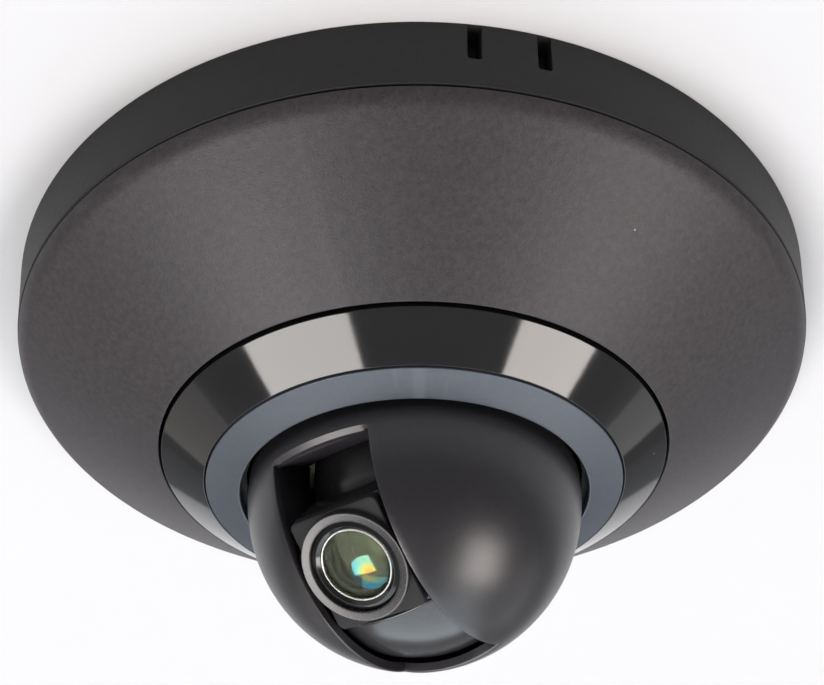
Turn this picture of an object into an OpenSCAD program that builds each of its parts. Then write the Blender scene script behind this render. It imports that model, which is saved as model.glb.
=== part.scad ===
// Ceiling-mounted mini PTZ camera. +Z is up, the ceiling plane is z = 0 and the
// camera hangs below it. At rest the lens faces -Y, tilted down from the horizon.

/* [Case] */
// Radius of the case where it meets the ceiling
case_r = 55; // [54.5:0.1:56]
// Radius of the lip where the rim ends
lip_r = 53.6; // [53.2:0.1:54]
// Depth of the rim below the ceiling
rim_h = 8.8; // [8.6:0.1:9.2]
// Wall of the rim and thickness of the floor
case_wall = 2; // [1.6:0.1:2.2]
// Radius where the cover ends and the glossy ring begins
seam_r = 33.2; // [33:0.1:33.6]
// Depth of that seam below the ceiling
seam_h = 21.8; // [21.6:0.1:22.2]

/* [Rings] */
// Radius where the glossy ring meets the inner ring
grey_r = 27.1; // [27:0.1:27.4]
// Depth of that line below the ceiling
grey_h = 25.6; // [25.5:0.1:25.9]
// Radius of the opening that the ball looks out of
eye_r = 22.6; // [22.4:0.1:22.8]
// Depth of that opening below the ceiling
eye_h = 26.7; // [26.6:0.1:27]

/* [Ball] */
// Radius of the ball
ball_r = 21.6; // [21.4:0.1:21.7]
// Depth of the ball's centre below the ceiling
ball_h = 26.3; // [26.2:0.1:26.5]
// Wall of the ball
ball_wall = 1.2; // [1:0.1:1.3]
// Width of the slot that the lens unit tilts in
slot_w = 13.8; // [13.6:0.1:14]
// Angle from straight down to the slot's front end
slot_front = 82; // [81:1:84]
// Angle from straight down to the slot's rear end
slot_rear = 22; // [22:0.5:24]

/* [Lens unit] */
// Angle of the lens from straight down, at rest
rest_tilt = 40; // [40:1:40]
// Distance of the square plate's face from the ball's centre
plate_p = 19.2; // [19:0.1:19.3]
// Length of the square plate along the slot
plate_l = 14; // [13.6:0.1:14]
// Width of the square plate across the slot
plate_w = 12.2; // [11.8:0.1:12.4]
// Radius of the round boss on the plate
boss_r = 6.7; // [6.6:0.05:6.7]
// Radius of the lens barrel's front
barrel_r = 5.5; // [5.4:0.05:5.5]
// Radius of the front glass
glass_r = 4.2; // [4:0.05:4.25]

/* [Gears] */
// Gear module
gear_m = 0.5; // [0.5:0.1:0.5]
// Teeth of the pan gear
pan_teeth = 100; // [100:1:100]
// Teeth of the pan motor's pinion
pan_pinion_teeth = 12; // [12:1:12]
// Teeth of the tilt gear
tilt_teeth = 30; // [30:1:30]
// Teeth of the tilt motor's pinion
tilt_pinion_teeth = 10; // [10:1:10]

/* [Wall fixings] */
// Distance between the two ceiling screw holes
ceiling_pitch = 83.5; // [82:0.5:85]
// Radius of each ceiling screw hole
ceiling_hole_r = 2.2; // [2:0.1:2.3]
// Radius of the cable hole in the floor
cable_hole_r = 8; // [7:0.5:8]

/* [Hidden] */
$fn = 96;
cut = 0.2;                       // how far a cutting solid passes a face

// rim and cover
lip_round = 0.2;
shadow_gap = 0.3;                // dark line between the lip and the cover
shoulder_r = 5;                  // the cover turns over towards the rim in this radius
shoulder_from = 30;              // lean of the cover's edge, from upright
cover_edge = [lip_r - 0.1, -rim_h - shadow_gap];
shoulder_at = cover_edge - shoulder_r * [cos(shoulder_from), -sin(shoulder_from)];
seam_offset = [seam_r, -seam_h] - shoulder_at;
shoulder_to = atan2(-seam_offset.y, seam_offset.x) - acos(shoulder_r / norm(seam_offset));
slope = tan(90 - shoulder_to);   // of the cone between the shoulder and the seam
function cone_z(r) = -seam_h + (r - seam_r) * slope;
cover_t = 2.2;                   // cover wall, measured straight up
cover_in_r = seam_r + 0.4;
skirt_out_r = lip_r - case_wall - 0.6;
skirt_in_r = skirt_out_r - 1.2;
skirt_top = -4.5;
trim_wall = 1.4;
trim_top = -16.2;
trim_flange_r = seam_r + 3.3;
inner_wall = 1.2;
inner_top = -21.2;
flange_t = 1;
seal_top = -23.9;
seal_t = 0.8;
tab_angle = -45;                 // middle of the side cable knock-out
tab_w = 6.2;
slit_w = 1.6;
slit_h = 5.1;

// posts and screws in the case
cover_post_r = 46.9;
cover_post_angles = [90, 210, 330];
chassis_post_r = 30;
chassis_post_angles = [45, 165, 285];
board_post_r = 38;
board_post_angles = [10, 58, -70, -150];
side_part_r = 38.4;              // tall board parts stand between the chassis and the board's edge
post_r = 2.6;
pilot_r = 0.8;
cable_angle = 150;
cable_hole_at = 40.5;

// main board
board_top = -4.2;
board_t = 1.2;
board_r = 42.5;
board_bot = board_top - board_t;

// reset switch
reset_x = -8;
reset_y = -38;
reset_w = 5.2;
reset_h = 1.8;
button_r = 1.25;

// chassis and pan bearing
chassis_top = -7;
chassis_t = 1.4;
chassis_bot = chassis_top - chassis_t;
chassis_r = 34;
hub_r = 5.5;
hub_bore_r = 4;
hub_bot = -16.4;
clip_top = -15.3;
clip_t = 0.6;
groove_r = 4.9;
run_gap = 0.05;                  // radial clearance of a running fit
bush_r = 6.5;

// turntable
table_top = -9.2;
table_t = 3;
table_bot = table_top - table_t;
table_hub_r = 7.5;
table_hub_bot = -15.1;
pan_centre = gear_m * (pan_teeth + pan_pinion_teeth) / 2;
pan_motor_angle = 225;
pan_motor_r = 5;
motor_shaft_r = 0.5;
pinion_face = 2.8;

// network jack
jack_l = 16;
jack_w = 13;
jack_h = 10.6;
jack_y = 33.5;
jack_top = -2.3;

// wire bundle to the lens unit: its wire radius, upper end, bend height and outer run
cable_r = 0.6;
cable_top = -7.4;
cable_z = -17.3;
cable_x = -10.4;

// yoke and tilt axis
arm_in = 7.7;
arm_t = 1.5;
arm_out = arm_in + arm_t;
arm_w = 11;
arm_bot = -31;
yoke_t = 1.2;
yoke_x = 13;
yoke_y = 11;
yoke_hole = [10.3, 8.6];
pin_r = 1.5;
left_pin_r = 2.2;
left_pin_bore = 1.2;
gear_x = 9.7;                    // inner face of the tilt gear
gear_t = 1.8;
tilt_centre = gear_m * (tilt_teeth + tilt_pinion_teeth) / 2;
tilt_motor_dz = 8.9;
tilt_motor_y = sqrt(tilt_centre * tilt_centre - tilt_motor_dz * tilt_motor_dz);
tilt_line = atan2(tilt_motor_dz, tilt_motor_y);
tilt_motor_r = 3.75;
bracket_x = 12;
bracket_t = 1;
tilt_motor_l = 6;
tilt_screw_y = 2.6;
ball_boss = [14, 12];
ball_boss_r = 2.2;
ball_rim = -22;
pocket_from = 42;
pocket_wall = 0.7;
raised_tilt = 60;                // angle from straight down of the lens at its highest
pocket_end = plate_l / 2 + 0.4;

// drum
drum_half = 6.5;
core_r = 8.2;
shell_gap = 0.7;
skirt_r = ball_r - ball_wall - shell_gap;
skirt_wall = 1.4;
skirt_half = 7.4;
skirt_from = 22.5;
skirt_to = 80;
shield_r = 14.5;
shield_wall = 1.2;
shield_to = 75;
house_wall = 0.8;
web_x = 4.8;
web_t = 1.2;
plate_t = 1.4;
boss_h = 0.85;                   // height of the boss above the plate's face
boss_lip = 0.15;                 // flat rim round the boss's funnel
funnel_h = 0.3;
plate_back = plate_p - plate_t;

// lens train, as distances along the lens axis from the ball's centre
barrel_front = 19.4;
barrel_back = 11.5;
barrel_step = 17.8;              // where the barrel widens to its front
barrel_body_r = 5.2;
barrel_bore_r = 3.2;
barrel_chamfer = 0.3;
seat_p = 16.4;                   // shoulder that the front glass sits on
seat_r = glass_r + 0.3;
ring_p = 18.6;
ring_t = 0.75;
glass_back = seat_p;
glass_front = 19.7;
glass_sag = 1;
second_back = 12.4;
second_front = 14.6;
second_sag = 1;
carriage_r = 3.4;
carriage_t = 2.4;
zoom_glass_r = 2.7;
zoom_rod_r = 0.4;
zoom_screw_r = 0.5;
zoom_rest = 5;
screw_v = 4.6;                   // offset of the zoom screw from the lens axis
rod_v = -4.6;
sensor_p = -3.2;
sensor_board_p = -4.4;
cap_front = -4.8;
cap_screw_x = 4.45;

// ---------- shared shapes ----------

// a disc or tube between two heights, z_top above z_bot
module tube(r_out, r_in, z_top, z_bot) {
    translate([0, 0, z_bot]) difference() {
        cylinder(r = r_out, h = z_top - z_bot);
        if (r_in > 0) translate([0, 0, -cut]) cylinder(r = r_in, h = z_top - z_bot + 2 * cut);
    }
}

// children placed on a circle at the given angles
module around(r, angles) {
    for (a = angles) rotate([0, 0, a]) translate([r, 0, 0]) children();
}

// screw along Z: the head's top at z = 0 and the shank below it
module screw_down(head_r, head_h, shank_r, length) {
    difference() {
        translate([0, 0, -head_h]) cylinder(r = head_r, h = head_h, $fn = 32);
        for (a = [0, 90]) rotate([0, 0, a])
            cube([head_r * 1.3, head_r * 0.25, head_h], center = true);
    }
    translate([0, 0, -length]) cylinder(r = shank_r, h = length - head_h, $fn = 32);
}

function involute(a) = tan(a) * 180 / PI - a;

// half of a tooth's angle at radius r, for pitch radius rp and base radius rb
function tooth_half(r, rp, rb, teeth, slack) =
    90 / teeth - slack / rp * 180 / PI
    + involute(acos(rb / rp)) - involute(acos(min(1, rb / max(r, rb))));

// spur gear outline with tooth 0 centred on +X
module gear_outline(teeth) {
    rp = gear_m * teeth / 2;
    rb = rp * cos(25);
    tip = rp + 0.8 * gear_m;
    root = rp - 1.05 * gear_m;
    slack = 0.035;
    radii = [root, max(rb, root + 0.05), rp, tip];
    polygon([for (k = [0:teeth - 1], side = [-1, 1], i = [0:3])
        let (r = side < 0 ? radii[i] : radii[3 - i],
             a = 360 * k / teeth + side * tooth_half(r, rp, rb, teeth, slack))
        [r * cos(a), r * sin(a)]]);
}

// the lens unit's frame: +Z out along the lens axis, +Y towards the slot's front end
module lens_frame() {
    translate([0, 0, -ball_h]) rotate([180 - rest_tilt, 0, 0]) children();
}

// the tilt axis: +Z along +X, +X along +Y, +Y along +Z
module tilt_axis_frame(x) {
    translate([x, 0, -ball_h]) rotate([90, 0, 90]) children();
}

// a wedge about the tilt axis in the lens frame, from one angle to another towards +Y
module wedge(from, to, half) {
    reach = 40;
    steps = 4;
    rotate([90, 0, 90]) linear_extrude(2 * half, center = true)
        polygon(concat([[0, 0]], [for (i = [0:steps])
            let (a = from + (to - from) * i / steps) [reach * sin(a), reach * cos(a)]]));
}

// ---------- case ----------

module bottom_case() color("#3e3e41") {
    difference() {
        union() {
            rotate_extrude() polygon(concat(
                [[0, 0], [case_r, 0]],
                [for (a = [0:18:90])
                    [lip_r - lip_round + lip_round * cos(a), -rim_h + lip_round - lip_round * sin(a)]],
                [[lip_r - case_wall, -rim_h], [case_r - case_wall - 0.4, -case_wall], [0, -case_wall]]));
            around(chassis_post_r, chassis_post_angles) tube(post_r, 0, -case_wall + cut, chassis_top);
            around(board_post_r, board_post_angles) tube(post_r, 0, -case_wall + cut, board_top);
        }
        around(chassis_post_r, chassis_post_angles) tube(pilot_r, 0, -3, chassis_top - cut);
        around(board_post_r, board_post_angles) tube(pilot_r, 0, -2.6, board_top - cut);
        around(cover_post_r, cover_post_angles) {
            tube(1.2, 0, cut, -case_wall - cut);
            tube(2.2, 0, cut, -1.1);
        }
        for (x = [-0.5, 0.5]) translate([x * ceiling_pitch, 0, 0])
            tube(ceiling_hole_r, 0, cut, -case_wall - cut);
        rotate([0, 0, cable_angle]) translate([cable_hole_at, 0, 0])
            tube(cable_hole_r, 0, cut, -case_wall - cut);
        rotate([0, 0, tab_angle]) for (side = [-1, 1])
            translate([case_r, side * (tab_w + slit_w) / 2, (cut - slit_h) / 2])
                cube([2 * case_wall + 2, slit_w, slit_h + cut], center = true);
    }
}

module top_cover() color("#504b4e") difference() {
    union() {
        shoulder_steps = 6;
        rotate_extrude() polygon(concat(
            [for (i = [0:shoulder_steps])
                let (a = shoulder_from + (shoulder_to - shoulder_from) * i / shoulder_steps)
                    shoulder_at + shoulder_r * [cos(a), -sin(a)]],
            [[cover_in_r, cone_z(cover_in_r)], [cover_in_r, cone_z(cover_in_r) + cover_t],
                [skirt_in_r, cone_z(skirt_in_r) + cover_t], [skirt_in_r, skirt_top],
                [skirt_out_r, skirt_top], [skirt_out_r, cover_edge.y]]));
        around(cover_post_r, cover_post_angles)
            tube(post_r, 0, -case_wall - 0.05, cone_z(cover_post_r + post_r) + 0.5);
    }
    around(cover_post_r, cover_post_angles) tube(pilot_r, 0, 0, -8.6);
}

module trim_ring() color("#141416") rotate_extrude() polygon([
    [seam_r, -seam_h], [grey_r + 0.2, -grey_h + 0.1], [grey_r + 0.2, -grey_h + 2],
    [seam_r - trim_wall, -seam_h + 1], [seam_r - trim_wall, trim_top], [trim_flange_r, trim_top],
    [trim_flange_r, trim_top - flange_t], [seam_r, trim_top - flange_t]]);

module inner_ring() color("#5a6268") rotate_extrude() polygon([
    [grey_r, -grey_h], [eye_r, -eye_h], [eye_r, -eye_h + 1.1], [grey_r - inner_wall, -grey_h + 0.8],
    [grey_r - inner_wall, inner_top], [grey_r + inner_wall, inner_top],
    [grey_r + inner_wall, inner_top - flange_t], [grey_r, inner_top - flange_t]]);

module light_seal() color("#101010") 
    tube(grey_r - inner_wall - 0.2, ball_r + 0.4, seal_top, seal_top - seal_t);

module cover_screws() color("#a8a8aa") around(cover_post_r, cover_post_angles)
    translate([0, 0, -0.2]) screw_down(1.9, 0.9, pilot_r, 7.5);

// ---------- electronics ----------

module main_board() color("#1d5a34") difference() {
    tube(board_r, 0, board_top, board_bot);
    translate([-36, jack_y - jack_w / 2 - 0.6, board_bot - cut])
        cube([36 + jack_l / 2 + 0.3, 30, board_t + 2 * cut]);
    rotate([0, 0, cable_angle]) translate([cable_hole_at, 0, 0])
        tube(cable_hole_r + 1, 0, board_top + cut, board_bot - cut);
    around(chassis_post_r, chassis_post_angles) tube(post_r + 0.3, 0, board_top + cut, board_bot - cut);
    around(board_post_r, board_post_angles) tube(1.1, 0, board_top + cut, board_bot - cut);
    around(pan_centre, [pan_motor_angle]) tube(pan_motor_r + 3.2, 0, board_top + cut, board_bot - cut);
    for (x = [-0.5, 0.5]) translate([x * ceiling_pitch, 0, 0])
        tube(5, 0, board_top + cut, board_bot - cut);
}

// a block under the board
module chip(x, y, size, angle = 0) {
    translate([x, y, board_bot - size[2]]) rotate([0, 0, angle])
        translate([-size[0] / 2, -size[1] / 2, 0]) cube(size);
}

module board_parts() color("#26262a") {
    chip(14, -12, [13, 13, 1.3]);
    chip(-2, -18, [9, 11, 1.2]);
    chip(15, 3, [8, 8, 1.2]);
    chip(-13, 3, [8, 6, 1.2]);
    rotate([0, 0, 34]) chip(side_part_r, 0, [7, 12, 5]);
    rotate([0, 0, -52]) chip(side_part_r, 0, [6, 8, 4.5]);
    around(side_part_r, [-17, -27, -37]) tube(2.4, 0, board_bot, board_bot - 5.5);
}

module board_screws() color("#a8a8aa") around(board_post_r, board_post_angles)
    translate([0, 0, board_bot - 0.8]) rotate([180, 0, 0])
        screw_down(1.9, 0.8, pilot_r - 0.02, 2.9);

module network_jack() color("#b8b8b4") difference() {
    translate([-jack_l / 2, jack_y - jack_w / 2, jack_top - jack_h]) cube([jack_l, jack_w, jack_h]);
    translate([-jack_l / 2 - cut, jack_y - 5.9, jack_top - 9.3]) cube([12.5, 11.8, 7.2]);
    translate([-jack_l / 2 - cut, jack_y - 2, jack_top - 10]) cube([12.5, 4, 1.2]);
}

module jack_contacts() color("#c8a24a") for (i = [0:7])
    translate([-jack_l / 2 + 4, jack_y - 3.82 + i * 1.02, jack_top - 2.9]) cube([8.2, 0.5, 0.4]);

module head_connector() color("#e0ddd0")
    translate([-3, -2, board_bot - 1.5]) cube([6, 4, 1.5]);

module reset_switch() color("#c4c4c4") translate([reset_x, reset_y, 0]) difference() {
    translate([-reset_w / 2, -reset_w / 2, board_bot - reset_h]) cube([reset_w, reset_w, reset_h]);
    tube(button_r + run_gap, 0, board_bot - reset_h + 0.8, board_bot - reset_h - cut);
}

module reset_button() color("#303034") translate([reset_x, reset_y, 0])
    tube(button_r, 0, board_bot - reset_h + 0.3, board_bot - reset_h - 1.2);

// ---------- pan bearing and drive ----------

module chassis() color("#8c8f93") difference() {
    union() {
        tube(chassis_r, 0, chassis_top, chassis_bot);
        tube(hub_r, 0, chassis_bot + cut, hub_bot);
    }
    tube(hub_bore_r, 0, chassis_top + cut, hub_bot - cut);
    tube(hub_r + 1, groove_r, clip_top + 0.05, clip_top - clip_t - 0.05);
    around(chassis_post_r, chassis_post_angles) tube(1.1, 0, chassis_top + cut, chassis_bot - cut);
    around(pan_centre, [pan_motor_angle]) {
        tube(1.6, 0, chassis_top + cut, chassis_bot - cut);
        around(pan_motor_r + 1.4, [0, 180]) tube(pilot_r, 0, chassis_top + cut, chassis_bot - cut);
    }
    translate([-40, jack_y - jack_w / 2 - 0.8, chassis_bot - cut])
        cube([40 + jack_l / 2 + 0.6, 30, chassis_t + 2 * cut]);
}

module chassis_screws() color("#a8a8aa") around(chassis_post_r, chassis_post_angles)
    translate([0, 0, chassis_bot - 0.6]) rotate([180, 0, 0])
        screw_down(1.8, 0.6, pilot_r - 0.02, 5);

module thrust_washer() color("#e8e4d8") tube(hub_r + 1.9, hub_r + 0.1, chassis_bot - 0.1, table_top + 0.1);

module retaining_clip() color("#b0b0b2") difference() {
    tube(hub_r + 1.7, groove_r + 0.05, clip_top, clip_top - clip_t);
    translate([0, -1.8, clip_top - clip_t - cut]) cube([20, 3.6, clip_t + 2 * cut]);
}

module pan_motor() color("#9a9ca0") around(pan_centre, [pan_motor_angle]) {
    tube(pan_motor_r, motor_shaft_r + 0.3, -2.5, chassis_top + 0.6);
    difference() {
        union() {
            tube(pan_motor_r, 0, chassis_top + 0.6, chassis_top);
            around(pan_motor_r + 1.4, [0, 180]) tube(1.7, 0, chassis_top + 0.6, chassis_top);
        }
        tube(motor_shaft_r + 0.3, 0, 0, chassis_top - cut);
        around(pan_motor_r + 1.4, [0, 180]) tube(0.9, 0, 0, chassis_top - cut);
    }
}

module pan_motor_screws() color("#a8a8aa") around(pan_centre, [pan_motor_angle])
    around(pan_motor_r + 1.4, [0, 180]) translate([0, 0, chassis_top + 1.2])
        screw_down(1.4, 0.55, pilot_r - 0.02, 2.5);

module pan_motor_shaft() color("#d0d0d2") around(pan_centre, [pan_motor_angle])
    tube(motor_shaft_r, 0, -3, table_bot);

module pan_pinion() color("#d8d2c0") rotate([0, 0, pan_motor_angle]) translate([pan_centre, 0, 0])
    difference() {
        translate([0, 0, table_top - pinion_face]) rotate([0, 0, 180 + 180 / pan_pinion_teeth])
            linear_extrude(pinion_face) gear_outline(pan_pinion_teeth);
        tube(motor_shaft_r, 0, table_top + cut, table_bot - cut);
    }

module turntable() color("#e6e2d4") difference() {
    union() {
        translate([0, 0, table_bot]) rotate([0, 0, pan_motor_angle])
            linear_extrude(table_t) gear_outline(pan_teeth);
        tube(table_hub_r, 0, table_bot + cut, table_hub_bot);
    }
    tube(bush_r, 0, table_top + cut, table_hub_bot - cut);
    for (x = [-1, 1], y = [-1, 1]) {
        translate([x * ball_boss[0], y * ball_boss[1], 0]) {
            tube(1, 0, table_top + cut, table_bot - cut);
            tube(1.8, 0, table_top + cut, table_top - 1.2);
        }
        translate([x * yoke_hole[0], y * yoke_hole[1], 0]) tube(pilot_r, 0, table_top + cut, table_bot - cut);
    }
}

module pan_bush() color("#b98a4e") tube(bush_r, hub_r + run_gap, table_top, table_hub_bot);

module yoke() color("#84878b") difference() {
    union() {
        translate([-yoke_x, -yoke_y, table_bot - yoke_t])
                cube([2 * yoke_x, 2 * yoke_y, yoke_t]);
        for (side = [-1, 1]) {
            translate([side * (arm_in + arm_t / 2), 0, (table_bot - yoke_t / 2 - ball_h) / 2])
                cube([arm_t, arm_w, ball_h + table_bot - yoke_t / 2], center = true);
            translate([side * (arm_in + arm_t / 2), 0, -ball_h]) rotate([0, 90, 0])
                cylinder(r = arm_w / 2, h = arm_t, center = true);
        }
        translate([bracket_x, 0, -ball_h + tilt_motor_dz - 3])
            cube([bracket_t, 9, table_bot - yoke_t / 2 + ball_h - tilt_motor_dz + 3]);
    }
    tube(table_hub_r + 0.05, 0, table_bot + cut, table_bot - yoke_t - cut);
    tube(hub_r + 2, 0, table_bot - yoke_t, clip_top - 2);
    for (x = [-1, 1], y = [-1, 1]) translate([x * yoke_hole[0], y * yoke_hole[1], 0])
        tube(0.9, 0, table_bot + cut, table_bot - yoke_t - cut);
    for (x = [-1, 1], y = [-1, 1]) translate([x * ball_boss[0], y * ball_boss[1], 0])
        tube(ball_boss_r + 0.3, 0, table_bot + cut, table_bot - yoke_t - cut);
    tilt_axis_frame(arm_in - cut) cylinder(r = pin_r + run_gap, h = arm_t + 2 * cut);
    tilt_axis_frame(-arm_out - cut) cylinder(r = left_pin_r + run_gap, h = arm_t + 2 * cut);
    translate([-arm_out - cut, 0, cable_z]) rotate([0, 90, 0])
        cylinder(r = 1, h = arm_t + 2 * cut, $fn = 32);
    tilt_axis_frame(bracket_x - cut) translate([tilt_motor_y, tilt_motor_dz, 0]) {
        cylinder(r = 1.2, h = bracket_t + 2 * cut, $fn = 32);
        for (s = [-1, 1]) translate([s * tilt_screw_y, 0, 0]) cylinder(r = 0.5, h = 2, $fn = 24);
    }
}

module yoke_screws() color("#a8a8aa") for (x = [-1, 1], y = [-1, 1])
    translate([x * yoke_hole[0], y * yoke_hole[1], table_bot - yoke_t - 0.7]) rotate([180, 0, 0])
        screw_down(1.3, 0.7, pilot_r - 0.02, 3.4);

// ---------- ball ----------

// side walls of the slot, deep enough to hide the inside above the lens unit, and an end
// wall that lies along the raised lens unit's upper face
module slot_pocket() translate([0, 0, -ball_h]) rotate([180, 0, 0]) intersection() {
    difference() {
        sphere(r = ball_r - ball_wall + cut);
        sphere(r = shield_r + 0.5);
    }
    wedge(pocket_from, 100, slot_w / 2 + pocket_wall);
    rotate([-raised_tilt, 0, 0]) translate([-20, -40, 0]) cube([40, 40 + pocket_end + pocket_wall, 30]);
}

// the space inside those walls
module pocket_space() translate([0, 0, -ball_h]) rotate([180, 0, 0]) intersection() {
    sphere(r = ball_r - ball_wall + cut);
    wedge(-slot_rear, 100, slot_w / 2);
    rotate([-raised_tilt, 0, 0]) translate([-20, -40, 0]) cube([40, 40 + pocket_end, 30]);
}

module ball_shell() color("#232125") difference() {
    union() {
        slot_pocket();
        difference() {
            translate([0, 0, -ball_h]) sphere(r = ball_r);
            translate([0, 0, -ball_h]) sphere(r = ball_r - ball_wall);
            translate([-30, -30, ball_rim]) cube(60);
        }
        intersection() {
            for (x = [-1, 1], y = [-1, 1]) translate([x * ball_boss[0], y * ball_boss[1], 0])
                tube(ball_boss_r, 0, table_bot, -31);
            union() {
                translate([0, 0, -ball_h]) sphere(r = ball_r - 0.2);
                tube(ball_r - 0.6, 0, table_bot, -ball_h);
            }
        }
    }
    for (x = [-1, 1], y = [-1, 1]) translate([x * ball_boss[0], y * ball_boss[1], 0])
        tube(pilot_r, 0, table_bot + cut, -20);
    translate([0, 0, -ball_h]) rotate([180, 0, 0]) wedge(-slot_rear, slot_front, slot_w / 2);
    pocket_space();
}

module ball_screws() color("#a8a8aa") for (x = [-1, 1], y = [-1, 1])
    translate([x * ball_boss[0], y * ball_boss[1], table_top - 0.2])
        screw_down(1.5, 0.9, pilot_r - 0.02, 9);

// ---------- tilt drive ----------

module tilt_motor() color("#9a9ca0") tilt_axis_frame(bracket_x + bracket_t)
    translate([tilt_motor_y, tilt_motor_dz, 0]) difference() {
        cylinder(r = tilt_motor_r, h = tilt_motor_l);
        translate([0, 0, -cut]) cylinder(r = motor_shaft_r + 0.3, h = tilt_motor_l - 1, $fn = 32);
    }

module tilt_motor_screws() color("#a8a8aa") for (s = [-1, 1])
    translate([bracket_x - 0.4, tilt_motor_y + s * tilt_screw_y, -ball_h + tilt_motor_dz]) rotate([0, -90, 0])
        screw_down(0.9, 0.4, 0.48, 1.35);

module tilt_motor_shaft() color("#d0d0d2") tilt_axis_frame(gear_x)
    translate([tilt_motor_y, tilt_motor_dz, 0]) cylinder(r = motor_shaft_r, h = 7.4, $fn = 32);

module tilt_pinion() color("#d8d2c0") tilt_axis_frame(gear_x)
    translate([tilt_motor_y, tilt_motor_dz, 0]) difference() {
        rotate([0, 0, tilt_line + 180 + 180 / tilt_pinion_teeth])
            linear_extrude(gear_t) gear_outline(tilt_pinion_teeth);
        translate([0, 0, -cut]) cylinder(r = motor_shaft_r, h = gear_t + 2 * cut, $fn = 32);
    }

// wire bundle from the board, down the hollow hub, through the left arm to the hollow pin
module head_cable() color("#2a2a2c") {
    translate([0, 0, cable_z]) cylinder(r = cable_r, h = cable_top - cable_z, $fn = 24);
    translate([0, 0, cable_z]) sphere(r = cable_r, $fn = 24);
    translate([cable_x, 0, cable_z]) rotate([0, 90, 0]) cylinder(r = cable_r, h = -cable_x, $fn = 24);
    translate([cable_x, 0, cable_z]) sphere(r = cable_r, $fn = 24);
    translate([cable_x, 0, -ball_h]) cylinder(r = cable_r, h = cable_z + ball_h, $fn = 24);
    translate([cable_x, 0, -ball_h]) sphere(r = cable_r, $fn = 24);
    translate([cable_x, 0, -ball_h]) rotate([0, 90, 0]) cylinder(r = cable_r, h = 2.6, $fn = 24);
}

// ---------- lens unit ----------

// curved wall about the tilt axis in the lens frame
module curved_wall(r_out, wall, from, to, half) {
    intersection() {
        difference() {
            sphere(r = r_out);
            sphere(r = r_out - wall);
        }
        wedge(from, to, half);
    }
}

// square web from the core to a curved wall of the given radius, on the angle given
module web(angle, wall_r, side) {
    reach = sqrt(wall_r * wall_r - pow(web_x + web_t, 2)) - 0.4;
    rotate([-angle, 0, 0]) translate([side < 0 ? -web_x - web_t : web_x, -web_t / 2, core_r - 1])
        cube([web_t, web_t, reach - core_r + 1]);
}

module tilt_drum() color("#2b2b2f") lens_frame() difference() {
    union() {
        rotate([0, 90, 0]) cylinder(r = core_r, h = 2 * drum_half, center = true);
        translate([-plate_w / 2, -plate_l / 2, 0]) cube([plate_w, plate_l, plate_back]);
        curved_wall(skirt_r, skirt_wall, -skirt_to, -skirt_from, skirt_half);
        curved_wall(shield_r, shield_wall, 15, shield_to, drum_half);
        for (side = [-1, 1]) {
            for (a = [-72, -45, -28]) web(a, skirt_r, side);
            for (a = [45, 68]) web(a, shield_r, side);
        }
    }
    // cavity for the lens train and the zoom drive, with a narrower one behind for the sensor
    translate([-5.5, -plate_l / 2 + house_wall, -1])
        cube([11, plate_l - 2 * house_wall, plate_back + 1 + cut]);
    translate([-3.95, -5.3, cap_front]) cube([7.9, 10.6, 5]);
    translate([-5.35, -5.2, cap_front - 6]) cube([10.7, 10.4, 6]);
    for (s = [-1, 1]) translate([s * cap_screw_x, 0, cap_front - cut]) cylinder(r = 0.5, h = 3, $fn = 24);
    for (side = [-1, 1]) translate([side * 5, 0, 0]) rotate([0, side * 90, 0])
        cylinder(r = side < 0 ? left_pin_r : pin_r, h = 3);
}

module left_tilt_pin() color("#c8c8ca") tilt_axis_frame(-arm_out - 0.4) difference() {
    cylinder(r = left_pin_r, h = arm_out + 0.4 - 5.5);
    translate([0, 0, -cut]) cylinder(r = left_pin_bore, h = arm_out);
}

module right_tilt_pin() color("#c8c8ca") tilt_axis_frame(5.5)
    cylinder(r = pin_r, h = gear_x + gear_t - 5.5);

module tilt_gear() color("#d8d2c0") tilt_axis_frame(gear_x) difference() {
    rotate([0, 0, tilt_line]) linear_extrude(gear_t) gear_outline(tilt_teeth);
    translate([0, 0, -cut]) cylinder(r = pin_r, h = gear_t + 2 * cut);
}

module lens_plate() color("#38383b") lens_frame() difference() {
    union() {
        translate([0, 0, plate_back]) linear_extrude(plate_t) offset(r = 0.9, $fn = 24)
            square([plate_w - 1.8, plate_l - 1.8], center = true);
        translate([0, 0, plate_p - cut]) cylinder(r = boss_r, h = boss_h + cut);
    }
    translate([0, 0, plate_back - cut]) cylinder(r = barrel_r + 0.1, h = 5);
    translate([0, 0, plate_p + boss_h - funnel_h])
        cylinder(r1 = barrel_r + 0.1, r2 = boss_r - boss_lip, h = funnel_h);
}

module lens_barrel() color("#1a1a1c") lens_frame() difference() {
    union() {
        translate([0, 0, barrel_back]) cylinder(r = barrel_body_r, h = barrel_step + cut - barrel_back);
        translate([0, 0, barrel_step]) cylinder(r = barrel_r, h = barrel_front - barrel_step);
        translate([0, 0, barrel_front])
            cylinder(r1 = barrel_r, r2 = barrel_r - barrel_chamfer, h = barrel_chamfer);
    }
    translate([0, 0, barrel_back - cut]) cylinder(r = barrel_bore_r, h = seat_p - barrel_back + 2 * cut);
    translate([0, 0, seat_p]) cylinder(r = seat_r, h = 6);
    translate([0, 0, ring_p + ring_t]) cylinder(r1 = seat_r, r2 = seat_r + 0.6, h = 0.6);
}

module retaining_ring() color("#c0c0c4") lens_frame() translate([0, 0, ring_p]) difference() {
    cylinder(r = seat_r - 0.02, h = ring_t);
    translate([0, 0, -cut]) cylinder(r = glass_r + 0.02, h = ring_t + 2 * cut);
}

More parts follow.
